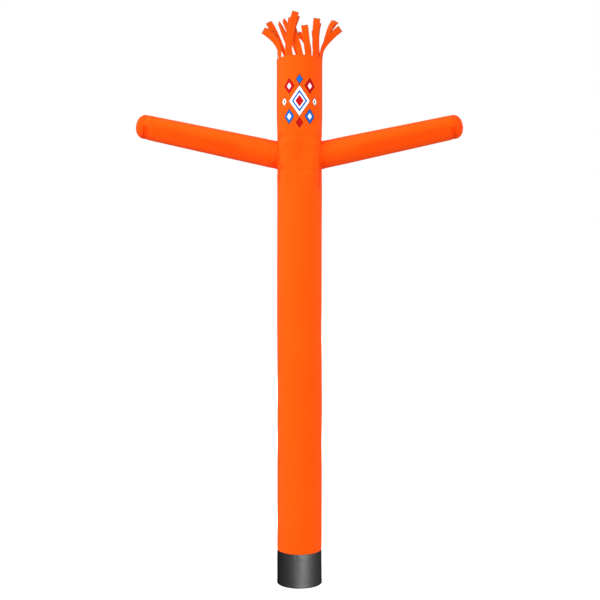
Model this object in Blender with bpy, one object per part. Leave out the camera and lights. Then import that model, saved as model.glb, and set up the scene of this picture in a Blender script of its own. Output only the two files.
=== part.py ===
"""Inflatable air dancer, blown up and standing on its cuff.

The origin is at the middle of the foot, +Z is up, the face looks along -Y and the
arms reach along -X (left) and +X (right).  All sizes are in metres.  Azimuths are
counted round the tube from -Y, the front, towards +X.
"""

import math
from collections import namedtuple

import bpy
from mathutils import Vector

# Driving dimensions
GAP = 0.0003  # left between pieces that meet
CLOTH = 0.002  # wall of the light orange cloth
CUFF_CLOTH = 0.003  # wall of the heavier black cloth

TUBE_RADIUS = 0.2285  # an 18 inch tube
HEAD_RADIUS = 0.2335  # the head swells a little above the chest
HEAD_SWELL = 0.30  # height over which it does
CUFF_TOP = 0.34
CHEST_BOTTOM = 4.20
CHEST_TOP = 4.535
BAND_BOTTOM = 5.323  # the streamers' band sits on the head's top edge
BAND_TOP = 5.335
BODY_SIDES = 40

SEAM_PINCH = 0.003  # how far a cross seam draws the wall in
SEAM_REACH = 0.022  # how far along the wall that is felt
SLACK = 0.0012  # slow unevenness of the blown-up wall
SHOULDER = 0.020  # how far the arms' seams pull the round chest out beside them
CHEST_FLAT = 0.012  # how far the chest's front and back go in for that
SHOULDER_FADE = 0.25  # height over which the tube is round again

ARM_RISE = math.radians(12.05)
ARM_ROOT_HEIGHT = 4.369  # where an arm's axis leaves the tube's side
ARM_ROOT_RADIUS = 0.1405
ARM_SEAM_RADIUS = 0.1235  # at the seam of the end cap
ARM_LENGTH = 1.375  # from the tube's side to that seam, along the arm
ARM_SIDES = 36
CAP_DEPTH = 0.098
CAP_FULLNESS = 0.90  # below 1 the dome is squarer than an ellipse
CAP_ROWS = 5
HOLE_REACH = 0.1  # how far an arm-hole cutter goes to each side of the wall
ROOT_TRIES = 6  # rounds that find where an arm meets the chest

STREAMER_WIDTH = 0.070
STREAMER_FLARE = 0.8  # share of the length over which the root widens
STREAMER_ROWS = 7

SMOOTH_ANGLE = math.radians(40)

ORANGE = (0.991, 0.120, 0.005)
BLACK = (0.022, 0.022, 0.024)

# Soft dents in the lower tube's sides
Dent = namedtuple("Dent", "azimuth height depth half_width half_height")
DENTS = (
    Dent(-88, 0.61, 0.004, 0.10, 0.16),
    Dent(-95, 1.45, 0.004, 0.09, 0.15),
    Dent(-84, 1.94, 0.005, 0.10, 0.17),
    Dent(86, 1.41, 0.004, 0.10, 0.16),
    Dent(94, 2.58, 0.005, 0.10, 0.18),
    Dent(170, 3.10, 0.005, 0.12, 0.20),
    Dent(-150, 0.95, 0.005, 0.12, 0.20),
)

# Creases round an arm, counted from its root seam
Crease = namedtuple("Crease", "distance depth half_width")
CREASES = (
    Crease(0.036, 0.0030, 0.012),
    Crease(0.090, 0.0020, 0.020),
)
ARM_ROWS = (0.018, 0.036, 0.054, 0.090, 0.130, 0.240, 0.600, 0.760, 1.070, 1.220)

# An arm tube's solids, from its root outwards, and where each starts.  The cloth is
# one piece; short solids keep its long bore open in collision.
ArmLength = namedtuple("ArmLength", "label start")
ARM_LENGTHS = (ArmLength("inner", 0.0), ArmLength("mid", 0.455), ArmLength("outer", 0.915))

# Streamers round the head's top edge: a place that each passes half-way up, the
# middle of its cut end, and the azimuth that its flat side faces there
Streamer = namedtuple("Streamer", "azimuth root_width middle tip facing")
STREAMERS = (
    Streamer(-61, 0.060, (-0.232, -0.150, 5.475), (-0.365, -0.170, 5.596), -25),
    Streamer(-33, 0.048, (-0.112, -0.185, 5.515), (-0.077, -0.190, 5.719), -15),
    Streamer(-22, 0.036, (-0.089, -0.240, 5.529), (-0.038, -0.250, 5.759), 0),
    Streamer(3, 0.054, (-0.027, -0.218, 5.466), (-0.092, -0.220, 5.641), -30),
    Streamer(22, 0.065, (0.071, -0.225, 5.473), (0.049, -0.235, 5.629), 5),
    Streamer(44, 0.065, (0.160, -0.185, 5.515), (0.175, -0.200, 5.707), 5),
    Streamer(69, 0.060, (0.263, -0.095, 5.481), (0.414, -0.115, 5.631), 30),
    Streamer(95, 0.060, (0.271, 0.050, 5.570), (0.380, 0.070, 5.763), 145),
    Streamer(118, 0.060, (0.180, 0.140, 5.612), (0.197, 0.160, 5.778), 170),
    Streamer(139, 0.060, (0.168, 0.175, 5.550), (0.172, 0.195, 5.710), 160),
    Streamer(157, 0.060, (0.080, 0.225, 5.576), (-0.018, 0.225, 5.673), 185),
    Streamer(172, 0.050, (-0.072, 0.195, 5.615), (-0.166, 0.160, 5.815), 108),
    Streamer(192, 0.026, (-0.130, 0.235, 5.600), (-0.217, 0.215, 5.805), 98),
    Streamer(205, 0.034, (-0.216, 0.155, 5.585), (-0.324, 0.140, 5.775), 200),
    Streamer(243, 0.060, (-0.222, 0.085, 5.530), (-0.285, 0.060, 5.660), 240),
    Streamer(268, 0.060, (-0.228, 0.000, 5.480), (-0.270, -0.030, 5.600), 290),
)


def clear_scene():
    """Remove every object, so that the model starts from nothing."""
    for thing in list(bpy.data.objects):
        bpy.data.objects.remove(thing, do_unlink=True)


def cloth_material(name, colour, roughness):
    """A plain woven cloth of one colour."""
    material = bpy.data.materials.new(name)
    material.use_nodes = True
    shader = material.node_tree.nodes["Principled BSDF"]
    shader.inputs["Base Color"].default_value = (*colour, 1.0)
    shader.inputs["Roughness"].default_value = roughness
    shader.inputs["Metallic"].default_value = 0.0
    return material


def add_piece(name, vertices, faces, material):
    """Make a named, smooth-shaded object from vertices and faces."""
    mesh = bpy.data.meshes.new(name)
    mesh.from_pydata(vertices, [], faces)
    mesh.materials.append(material)
    mesh.shade_smooth()
    mesh.set_sharp_from_angle(angle=SMOOTH_ANGLE)
    piece = bpy.data.objects.new(name, mesh)
    bpy.context.collection.objects.link(piece)
    return piece


def skin(rings, closed):
    """Join rings of points into faces; a ring of one point is a pole.

    With closed, the last ring is joined to the first, which makes a wall that runs
    up the outside and down the inside.
    """
    vertices = [point for ring in rings for point in ring]
    starts = [sum(len(ring) for ring in rings[:k]) for k in range(len(rings))]
    faces = []
    pairs = len(rings) if closed else len(rings) - 1
    for k in range(pairs):
        low, high = k, (k + 1) % len(rings)
        count = max(len(rings[low]), len(rings[high]))
        for i in range(count):
            j = (i + 1) % count
            below = [starts[low] + n for n in ((i, j) if len(rings[low]) > 1 else (0,))]
            above = [starts[high] + n for n in ((j, i) if len(rings[high]) > 1 else (0,))]
            faces.append(below + above)
    return vertices, faces


def blend(start, end, share):
    """The value at a share of the way from start to end."""
    return start + (end - start) * share


def ease(share):
    """A share held to 0..1 and eased in and out."""
    share = min(1.0, max(0.0, share))
    return share * share * (3.0 - 2.0 * share)


def bump(distance, reach):
    """A soft hump: 1 at no distance, near 0 beyond twice the reach."""
    return math.exp(-((distance / reach) ** 2))


def turns(sides):
    """Equal steps round a circle, in radians."""
    return [2.0 * math.pi * i / sides for i in range(sides)]


def on_tube(azimuth, radius, height):
    """A point round the upright axis."""
    return Vector((radius * math.sin(azimuth), -radius * math.cos(azimuth), height))


# The upright tube: cuff, lower tube, chest panel and head tube


def shoulder_pull(azimuth, height):
    """How far out the chest is pulled, which the arms do at their seams."""
    low, high = CHEST_BOTTOM - SHOULDER_FADE, CHEST_TOP + SHOULDER_FADE
    strength = ease((height - low) / SHOULDER_FADE) * ease((high - height) / SHOULDER_FADE)
    beside = SHOULDER * math.sin(2.0 * azimuth) ** 2
    return strength * (beside - CHEST_FLAT * math.cos(azimuth) ** 4)


def body_radius(azimuth, height):
    """Outer radius of the blown-up tube."""
    swell = ease((height - CHEST_TOP) / HEAD_SWELL)
    radius = blend(TUBE_RADIUS, HEAD_RADIUS, swell) + shoulder_pull(azimuth, height)
    radius -= sum(
        SEAM_PINCH * bump(height - seam, SEAM_REACH)
        for seam in (CUFF_TOP, CHEST_BOTTOM, CHEST_TOP)
    )
    for dent in DENTS:
        turn = (azimuth - math.radians(dent.azimuth) + math.pi) % (2.0 * math.pi) - math.pi
        across = bump(turn * TUBE_RADIUS, dent.half_width)
        radius -= dent.depth * across * bump(height - dent.height, dent.half_height)
    fading = ease(height / CUFF_TOP) * ease((CHEST_BOTTOM - height) / CUFF_TOP)
    return radius + SLACK * fading * math.sin(3.0 * azimuth + 2.1 * height)


def panel_heights(bottom, top, rows):
    """Heights of a panel's rings, with one close to each seam."""
    low, high = bottom + SEAM_REACH, top - SEAM_REACH
    inner = [blend(low, high, i / rows) for i in range(rows + 1)]
    return [bottom, *inner, top]


def body_panel(name, bottom, top, rows, cloth, material):
    """One cut panel of the upright tube, as a wall open at both ends."""
    heights = panel_heights(bottom, top, rows)
    outer = [
        [on_tube(a, body_radius(a, z), z) for a in turns(BODY_SIDES)] for z in heights
    ]
    inner = [
        [on_tube(a, body_radius(a, z) - cloth, z) for a in turns(BODY_SIDES)]
        for z in reversed(heights)
    ]
    return add_piece(name, *skin(outer + inner, closed=True), material)


# Arms


def arm_point(side, along, azimuth, radius):
    """A point round an arm's axis; azimuth 0 is the arm's upper side."""
    lean, sink = math.cos(ARM_RISE), math.sin(ARM_RISE)
    up = radius * math.cos(azimuth)
    x = TUBE_RADIUS + along * lean - up * sink
    z = ARM_ROOT_HEIGHT + along * sink + up * lean
    return Vector((side * x, -side * radius * math.sin(azimuth), z))


def root_start(azimuth, radius):
    """How far along its axis an arm's wall starts, on the chest panel's face."""
    across = radius * math.sin(azimuth)
    up = radius * math.cos(azimuth)
    along = 0.0
    for _ in range(ROOT_TRIES):
        place = arm_point(1, along, azimuth, radius)
        face = body_radius(math.atan2(place.x, -place.y), place.z) + GAP
        reach = math.sqrt(face**2 - across**2)
        along = (reach - TUBE_RADIUS + up * math.sin(ARM_RISE)) / math.cos(ARM_RISE)
    return along


def arm_radius(side, distance, azimuth):
    """Outer radius of an arm at a distance from its root seam."""
    radius = blend(ARM_ROOT_RADIUS, ARM_SEAM_RADIUS, distance / ARM_LENGTH)
    radius -= SEAM_PINCH * bump(ARM_LENGTH - distance, SEAM_REACH)
    for count, crease in enumerate(CREASES):
        strength = 0.6 + 0.4 * math.cos(2.0 * azimuth + side + 2.0 * count)
        radius -= crease.depth * strength * bump(distance - crease.distance, crease.half_width)
    return radius


def arm_ring(side, distance, inset):
    """One ring of an arm's wall, from the slanted root to the square tip."""
    ring = []
    for azimuth in turns(ARM_SIDES):
        radius = arm_radius(side, distance, azimuth) - inset
        start = root_start(azimuth, radius)
        along = blend(start, ARM_LENGTH, distance / ARM_LENGTH)
        ring.append(arm_point(side, along, azimuth, radius))
    return ring


def arm(name, side, start, end, material):
    """A length of a tapered arm tube, open at both ends."""
    rows = [*ARM_ROWS, ARM_LENGTH - SEAM_REACH]
    distances = [start, *(row for row in rows if start < row < end), end]
    outer = [arm_ring(side, d, 0.0) for d in distances]
    inner = [arm_ring(side, d, CLOTH) for d in reversed(distances)]
    return add_piece(name, *skin(outer + inner, closed=True), material)


def cap_rings(side, inset):
    """Rings and pole of a cap's dome, from its seam to its tip."""
    depth = CAP_DEPTH - inset
    rings = []
    for i in range(CAP_ROWS):
        angle = 0.5 * math.pi * i / CAP_ROWS
        beyond = depth * math.sin(angle) ** CAP_FULLNESS
        swell = ARM_SEAM_RADIUS - SEAM_PINCH * bump(beyond, SEAM_REACH) - inset
        radius = swell * math.cos(angle) ** CAP_FULLNESS
        along = ARM_LENGTH + GAP + beyond
        rings.append([arm_point(side, along, a, radius) for a in turns(ARM_SIDES)])
    rings.append([arm_point(side, ARM_LENGTH + GAP + depth, 0.0, 0.0)])
    return rings


def arm_cap(name, side, material):
    """The domed cloth piece that closes an arm."""
    inner = cap_rings(side, CLOTH)
    outer = cap_rings(side, 0.0)
    return add_piece(name, *skin(inner[::-1] + outer, closed=False), material)


def cut_arm_hole(panel, side, material):
    """Cut the hole that an arm's bore opens through the chest panel."""
    radius = ARM_ROOT_RADIUS - CLOTH
    ends = (-HOLE_REACH, HOLE_REACH)
    rings = [[arm_point(side, s, a, radius) for a in turns(ARM_SIDES)] for s in ends]
    poles = [[arm_point(side, s, 0.0, 0.0)] for s in ends]
    shape = skin([poles[0], *rings, poles[1]], closed=False)
    cutter = add_piece(f"{panel.name}_cutter_{side:+d}", *shape, material)
    cutter.hide_render = True
    cutter.display_type = "WIRE"
    hole = panel.modifiers.new(f"arm hole {side:+d}", "BOOLEAN")
    hole.operation = "DIFFERENCE"
    hole.solver = "EXACT"
    hole.object = cutter


# Streamers


def streamer_section(centre, along, facing, width):
    """The four corners of a flat streamer where its middle passes a point."""
    out = Vector((math.sin(facing), -math.cos(facing), 0.0))
    across = along.cross(out).normalized()
    out = across.cross(along).normalized()
    half, thick = across * (0.5 * width), out * (0.5 * CLOTH)
    return [centre - half + thick, centre + half + thick, centre + half - thick, centre - half - thick]


def streamer_sections(streamer, root):
    """Sections of one streamer above its root, up to its cut end."""
    middle, tip = Vector(streamer.middle), Vector(streamer.tip)
    handle = 2.0 * middle - 0.5 * (root + tip)
    sections = []
    for row in range(1, STREAMER_ROWS + 1):
        t = row / STREAMER_ROWS
        centre = (1 - t) ** 2 * root + 2 * t * (1 - t) * handle + t * t * tip
        along = ((1 - t) * (handle - root) + t * (tip - handle)).normalized()
        facing = math.radians(blend(streamer.azimuth, streamer.facing, t))
        width = blend(streamer.root_width, STREAMER_WIDTH, ease(t / STREAMER_FLARE))
        sections.append(streamer_section(centre, along, facing, width))
    return sections


def strip_faces(below, above):
    """Faces between two sections, with both flat sides split along one diagonal.

    Where a streamer twists, its two sides then bend alike and keep their distance.
    """
    faces = []
    for i in range(len(below)):
        j = (i + 1) % len(below)
        if i < 2:
            faces += [[below[i], below[j], above[j]], [below[i], above[j], above[i]]]
        else:
            faces += [[below[i], below[j], above[i]], [below[j], above[j], above[i]]]
    return faces


def hair(name, material):
    """The narrow band on the head's top edge with the streamers fused into it."""
    edges = []
    for streamer in STREAMERS:
        half = 0.5 * streamer.root_width / HEAD_RADIUS
        middle = math.radians(streamer.azimuth)
        edges += [middle - half, middle + half]
    count = len(edges)
    inner_radius = HEAD_RADIUS - CLOTH
    levels = (
        (HEAD_RADIUS, BAND_BOTTOM + GAP),
        (HEAD_RADIUS, BAND_TOP),
        (inner_radius, BAND_TOP),
        (inner_radius, BAND_BOTTOM + GAP),
    )
    rings = [[on_tube(a, radius, z) for a in edges] for radius, z in levels]
    vertices, faces = skin(rings, closed=True)
    top_faces = faces[count : 2 * count]  # skin() lists the faces level by level
    roots = top_faces[0::2]  # every other one carries a streamer
    faces = [face for face in faces if face not in roots]
    for streamer, base in zip(STREAMERS, roots):
        centre = sum((vertices[i] for i in base), Vector()) / len(base)
        for section in streamer_sections(streamer, centre):
            fresh = list(range(len(vertices), len(vertices) + len(section)))
            vertices += section
            faces += strip_faces(base, fresh)
            base = fresh
        faces.append(base)
    return add_piece(name, vertices, faces, material)


def main():
    clear_scene()
    orange = cloth_material("orange cloth", ORANGE, 0.45)
    black = cloth_material("black cuff cloth", BLACK, 0.38)

    half_gap = 0.5 * GAP
    body_panel("base_cuff", 0.0, CUFF_TOP - half_gap, 2, CUFF_CLOTH, black)
    body_panel("lower_tube", CUFF_TOP + half_gap, CHEST_BOTTOM - half_gap, 20, CLOTH, orange)
    chest = body_panel("chest_panel", CHEST_BOTTOM + half_gap, CHEST_TOP - half_gap, 3, CLOTH, orange)
    body_panel("head_tube", CHEST_TOP + half_gap, BAND_BOTTOM, 5, CLOTH, orange)

    for label, side in (("left", -1), ("right", 1)):
        cut_arm_hole(chest, side, orange)
        ends = [length.start - GAP for length in ARM_LENGTHS[1:]] + [ARM_LENGTH]
        for length, end in zip(ARM_LENGTHS, ends):
            arm(f"arm_{label}_{length.label}", side, length.start, end, orange)
        arm_cap(f"arm_cap_{label}", side, orange)

    hair("hair", orange)


main()
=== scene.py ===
"""Inflatable air dancer: the finished cloth, seams, print, streamers and studio.

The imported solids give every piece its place.  Each cloth panel is a thin closed
sheet on its solid's form, with the creases, seam ridges and puckers of sewn nylon.
The origin is at the middle of the foot, +Z is up and the front looks along -Y.
"""

import logging
import math
from dataclasses import dataclass, field, replace
from enum import Enum
from typing import Callable, Sequence

import bpy
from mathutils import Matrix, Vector, noise


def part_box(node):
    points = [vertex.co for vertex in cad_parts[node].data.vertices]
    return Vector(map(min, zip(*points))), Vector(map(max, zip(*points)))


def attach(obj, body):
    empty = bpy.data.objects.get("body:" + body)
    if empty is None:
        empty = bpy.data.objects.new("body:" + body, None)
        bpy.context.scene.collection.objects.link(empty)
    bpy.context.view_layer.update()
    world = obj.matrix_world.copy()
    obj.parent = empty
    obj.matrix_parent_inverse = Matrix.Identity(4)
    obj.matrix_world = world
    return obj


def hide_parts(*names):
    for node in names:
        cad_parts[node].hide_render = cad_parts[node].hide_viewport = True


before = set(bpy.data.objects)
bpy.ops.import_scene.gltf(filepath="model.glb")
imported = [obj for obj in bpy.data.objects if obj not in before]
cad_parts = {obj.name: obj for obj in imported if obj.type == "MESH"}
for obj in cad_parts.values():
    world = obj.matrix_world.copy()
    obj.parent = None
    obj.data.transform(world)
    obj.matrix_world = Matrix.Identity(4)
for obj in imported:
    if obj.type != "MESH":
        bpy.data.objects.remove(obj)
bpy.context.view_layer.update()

LOG = logging.getLogger("air_dancer")
BODY = "root"
CLOTH_MAP = "cloth"  # UV map in metres: across the cloth and along it
CAD_ARM_PARTS = ("inner", "mid", "outer")  # the solids that an arm's tube is made of
CUT_EDGE = "cut_edge"  # point attribute: 1 at a heat-cut edge
SHADE = "painted_shade"  # point attribute: painted shade, 0 on open cloth to 1 where it is darkest
CLOTH = 0.002
CUFF_CLOTH = 0.003
HEM_LIP = 0.002  # how far a folded hem takes to rise
# Distances from a seam, in metres, at which a panel has a row of points.
NEAR_SEAM = (0.0, 0.0015, 0.003, 0.006, 0.009, 0.012, 0.0135, 0.015, 0.019, 0.024, 0.031, 0.040, 0.052, 0.066)

Ring = list[Vector]


# Small sums


def blend(start: float, end: float, share: float) -> float:
    """The value at a share of the way from start to end."""
    return start + (end - start) * share


def ease(share: float) -> float:
    """A share held to 0..1 and eased in and out."""
    share = min(1.0, max(0.0, share))
    return share * share * (3.0 - 2.0 * share)


def bump(distance: float, reach: float) -> float:
    """A soft hump: 1 at no distance, near 0 beyond twice the reach."""
    return math.exp(-((distance / reach) ** 2))


def hem(distance: float, width: float) -> float:
    """A folded hem's flat-topped ridge: 1 from 0 to its width, with eased lips."""
    return ease((distance + HEM_LIP) / HEM_LIP) * ease((width + HEM_LIP - distance) / HEM_LIP)


def grain(x: float, y: float, z: float) -> float:
    """Smooth noise from -1 to 1 at a place."""
    return noise.noise(Vector((x, y, z)))


def on_tube(azimuth: float, radius: float, height: float) -> Vector:
    """A point round the upright axis; azimuth 0 is the front."""
    return Vector((radius * math.sin(azimuth), -radius * math.cos(azimuth), height))


def from_axis(place: Vector) -> Vector:
    """The direction from the upright axis to a place."""
    return Vector((place.x, place.y, 0.0)).normalized()


def steps(start: float, end: float, count: int) -> list[float]:
    """Evenly spaced values from start to end, both included."""
    return [blend(start, end, i / count) for i in range(count + 1)]


def seam_steps(start: float, end: float, middle_step: float) -> list[float]:
    """Places along a panel that are close together near its two seams.

    Args:
        start: the first seam's place.
        end: the second seam's place.
        middle_step: the spacing away from the seams.

    Returns:
        The places in order, with both ends.
    """
    near = [d for d in NEAR_SEAM if d < 0.45 * (end - start)]
    low, high = start + near[-1], end - near[-1]
    count = max(2, round((high - low) / middle_step))
    middle = steps(low, high, count)[1:-1]
    return [*(start + d for d in near), *middle, *(end - d for d in reversed(near))]


# Cloth meshes


@dataclass
class ClothMesh:
    """Points, faces and cloth coordinates gathered for one piece."""

    points: list[Vector] = field(default_factory=list)
    faces: list[list[int]] = field(default_factory=list)
    cloth: list[float] = field(default_factory=list)
    cut_edge: list[float] = field(default_factory=list)
    shade: list[float] = field(default_factory=list)

    def add_rings(
        self,
        rings: Sequence[Ring],
        around: Sequence[float],
        along: Sequence[float],
        cyclic: bool,
        cut_edge: Sequence[Sequence[float]] | None = None,
        shade: Sequence[Sequence[float]] | None = None,
    ) -> None:
        """Join rings of points into a closed surface.

        Args:
            rings: rings with the same number of points each.
            around: cloth coordinate of each point of a ring, and of the first again.
            along: cloth coordinate of each ring.
            cyclic: join the last ring to the first; if not, both are filled.
            cut_edge: for each ring and point, how near it is to a heat-cut edge, 0 to 1.
            shade: for each ring and point, how much painted shade it gets, 0 to 1.
        """
        start, count = len(self.points), len(rings[0])
        for k, ring in enumerate(rings):
            self.points += ring
            self.cut_edge += list(cut_edge[k]) if cut_edge else [0.0] * count
            self.shade += list(shade[k]) if shade else [0.0] * count
        for k in range(len(rings) if cyclic else len(rings) - 1):
            after = (k + 1) % len(rings)
            low, high = start + k * count, start + after * count
            for i in range(count):
                j = (i + 1) % count
                self.faces.append([low + i, low + j, high + j, high + i])
                u0, u1, v0, v1 = around[i], around[i + 1], along[k], along[after]
                self.cloth += [u0, v0, u1, v0, u1, v1, u0, v1]
        if not cyclic:
            last = start + (len(rings) - 1) * count
            self.fill([start + i for i in reversed(range(count))], around, along[0])
            self.fill([last + i for i in range(count)], around, along[-1])

    def fill(self, loop: list[int], around: Sequence[float], along: float) -> None:
        """Close a ring with one face.

        Args:
            loop: the ring's points, by number.
            around: cloth coordinate of each of them.
            along: cloth coordinate of the ring.
        """
        self.faces.append(loop)
        for i in range(len(loop)):
            self.cloth += [around[i], along]

    def build(self, name: str, sharp_degrees: float = 50.0) -> bpy.types.Object:
        """Make the piece's smooth-shaded object.

        Args:
            name: the piece's name.
            sharp_degrees: edges sharper than this stay sharp.

        Returns:
            The new object, linked to the scene.
        """
        mesh = bpy.data.meshes.new(name)
        mesh.from_pydata(self.points, [], self.faces)
        layer = mesh.uv_layers.new(name=CLOTH_MAP)
        layer.uv.foreach_set("vector", self.cloth)
        for label, values in ((CUT_EDGE, self.cut_edge), (SHADE, self.shade)):
            attribute = mesh.attributes.new(label, "FLOAT", "POINT")
            attribute.data.foreach_set("value", values)
        mesh.shade_smooth()
        mesh.set_sharp_from_angle(angle=math.radians(sharp_degrees))
        piece = bpy.data.objects.new(name, mesh)
        bpy.context.collection.objects.link(piece)
        return piece


# Shader building


Feed = bpy.types.NodeSocket | float | tuple[float, ...]


@dataclass
class Graph:
    """A node tree with short ways to add and join nodes."""

    tree: bpy.types.NodeTree

    def add(self, kind: str, **settings: object) -> bpy.types.Node:
        """Add a node and set its own properties.

        Args:
            kind: the node's type.
            **settings: its own properties, by name.

        Returns:
            The new node.
        """
        node = self.tree.nodes.new(kind)
        for key, value in settings.items():
            setattr(node, key, value)
        return node

    def feed(self, socket: bpy.types.NodeSocket, value: Feed) -> None:
        """Link a socket to another, or set its value.

        Args:
            socket: the input.
            value: an output to link to it, or a value.
        """
        if isinstance(value, bpy.types.NodeSocket):
            self.tree.links.new(value, socket)
        else:
            socket.default_value = value

    def math(self, operation: str, *values: Feed, clamp: bool = False) -> bpy.types.NodeSocket:
        """A Math node's result.

        Args:
            operation: the node's operation.
            *values: what feeds its inputs, in order.
            clamp: whether the result is held to 0..1.

        Returns:
            The result's output.
        """
        node = self.add("ShaderNodeMath", operation=operation, use_clamp=clamp)
        for socket, value in zip(node.inputs, values):
            self.feed(socket, value)
        return node.outputs[0]

    def between(self, value: Feed, low: float, high: float) -> bpy.types.NodeSocket:
        """0 at low and 1 at high, eased between them.

        Args:
            value: what is measured.
            low: where the result leaves 0.
            high: where it reaches 1.

        Returns:
            The result's output.
        """
        node = self.add("ShaderNodeMapRange", interpolation_type="SMOOTHSTEP")
        self.feed(node.inputs["Value"], value)
        node.inputs["From Min"].default_value = low
        node.inputs["From Max"].default_value = high
        return node.outputs["Result"]

    def mix(self, share: Feed, under: Feed, over: Feed, way: str = "MIX") -> bpy.types.NodeSocket:
        """One colour laid over another.

        Args:
            share: how much of the upper colour shows.
            under: the lower colour.
            over: the upper colour.
            way: how the two are blended.

        Returns:
            The mixed colour's output.
        """
        node = self.add("ShaderNodeMix", data_type="RGBA", blend_type=way)
        self.feed(node.inputs["Factor"], share)
        colours = [s for s in node.inputs if s.type == "RGBA"]
        for socket, value in zip(colours, (under, over)):
            self.feed(socket, value)
        return next(s for s in node.outputs if s.type == "RGBA")

    def noise(self, place: Feed, scale: float, detail: float, rough: float = 0.5) -> bpy.types.NodeSocket:
        """A noise texture's value.

        Args:
            place: the texture's coordinates.
            scale: how many waves there are in a unit.
            detail: how many finer waves are added.
            rough: how much the finer ones count.

        Returns:
            The noise's output.
        """
        node = self.add("ShaderNodeTexNoise")
        self.feed(node.inputs["Vector"], place)
        node.inputs["Scale"].default_value = scale
        node.inputs["Detail"].default_value = detail
        node.inputs["Roughness"].default_value = rough
        return node.outputs["Fac"]

    def group(self, tree: bpy.types.NodeTree, **values: Feed) -> bpy.types.Node:
        """Place a node group; an input's name has _ for each space.

        Args:
            tree: the node group.
            **values: what feeds its inputs, by name.

        Returns:
            The group's node.
        """
        node = self.add("ShaderNodeGroup", node_tree=tree)
        for key, value in values.items():
            self.feed(node.inputs[key.replace("_", " ")], value)
        return node


class Socket(Enum):
    """Kinds of socket that the node groups use."""

    VALUE = "NodeSocketFloat"
    COLOUR = "NodeSocketColor"
    PLACE = "NodeSocketVector"


def new_group(
    name: str, inputs: dict[str, Socket], outputs: dict[str, Socket]
) -> tuple[Graph, bpy.types.Node, bpy.types.Node]:
    """Start a shader node group with named sockets.

    Args:
        name: the group's name.
        inputs: each input's name and kind.
        outputs: each output's name and kind.

    Returns:
        The group's graph, its input node and its output node.
    """
    tree = bpy.data.node_groups.new(name, "ShaderNodeTree")
    for label, kind in inputs.items():
        tree.interface.new_socket(name=label, in_out="INPUT", socket_type=kind.value)
    for label, kind in outputs.items():
        tree.interface.new_socket(name=label, in_out="OUTPUT", socket_type=kind.value)
    graph = Graph(tree)
    return graph, graph.add("NodeGroupInput"), graph.add("NodeGroupOutput")


def weave_group() -> bpy.types.NodeTree:
    """Plain weave with a thicker ripstop thread at every few millimetres.

    Returns:
        A group from cloth coordinates to the weave's height and its ripstop lines.
    """
    line_starts, line_full, weave_share = 0.44, 0.49, 0.25
    graph, given, made = new_group(
        "Ripstop Weave",
        {
            "Cloth": Socket.PLACE,
            "Thread Pitch": Socket.VALUE,
            "Grid Pitch": Socket.VALUE,
            "Grid Height": Socket.VALUE,
        },
        {"Height": Socket.VALUE, "Grid": Socket.VALUE},
    )
    split = graph.add("ShaderNodeSeparateXYZ")
    graph.feed(split.inputs[0], given.outputs["Cloth"])
    waves, lines = [], []
    for axis in (split.outputs["X"], split.outputs["Y"]):
        turn = graph.math("DIVIDE", axis, given.outputs["Thread Pitch"])
        waves.append(graph.math("SINE", graph.math("MULTIPLY", turn, 2.0 * math.pi)))
        cell = graph.math("FRACT", graph.math("DIVIDE", axis, given.outputs["Grid Pitch"]))
        off_line = graph.math("ABSOLUTE", graph.math("SUBTRACT", cell, 0.5))
        lines.append(graph.between(off_line, line_starts, line_full))
    weave = graph.math("MULTIPLY", waves[0], waves[1])
    grid = graph.math("MAXIMUM", lines[0], lines[1])
    raised = graph.math("MULTIPLY", grid, given.outputs["Grid Height"])
    graph.feed(made.inputs["Height"], graph.math("MULTIPLY_ADD", weave, weave_share, raised))
    graph.feed(made.inputs["Grid"], grid)
    return graph.tree


def cloth_tone_group() -> bpy.types.NodeTree:
    """Slow unevenness of dyed cloth, painted shade where the mesh asks for it, and darker heat-cut edges.

    Returns:
        A group from a base colour to the cloth's colour over the surface.
    """
    slow_scale, fine_scale, grid_share, burnt_share = 1.7, 24.0, 0.10, 0.70
    scorched = (0.10, 0.09, 0.02, 1.0)
    graph, given, made = new_group(
        "Cloth Tone",
        {
            "Base": Socket.COLOUR,
            "Deep": Socket.COLOUR,
            "Place": Socket.PLACE,
            "Grid": Socket.VALUE,
            "Unevenness": Socket.VALUE,
        },
        {"Colour": Socket.COLOUR, "Crinkle": Socket.VALUE},
    )
    slow = graph.noise(given.outputs["Place"], slow_scale, 2.0)
    fine = graph.noise(given.outputs["Place"], fine_scale, 3.0, 0.55)
    uneven = graph.math("MULTIPLY", graph.between(slow, 0.35, 0.75), given.outputs["Unevenness"])
    colour = graph.mix(uneven, given.outputs["Base"], given.outputs["Deep"])
    on_grid = graph.math("MULTIPLY", given.outputs["Grid"], grid_share)
    colour = graph.mix(on_grid, colour, given.outputs["Deep"])
    burnt = graph.mix(burnt_share, given.outputs["Base"], scorched)
    # The painted shade attribute mixes the colour toward the deep colour; heat-cut edges mix it toward the
    # burnt tone.
    for label, share, tone in ((SHADE, 0.75, given.outputs["Deep"]), (CUT_EDGE, 0.8, burnt)):
        mask = graph.add("ShaderNodeAttribute", attribute_name=label)
        depth = graph.math("MULTIPLY", mask.outputs["Fac"], share, clamp=True)
        colour = graph.mix(depth, colour, tone)
    graph.feed(made.inputs["Colour"], colour)
    graph.feed(made.inputs["Crinkle"], fine)
    return graph.tree


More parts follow.
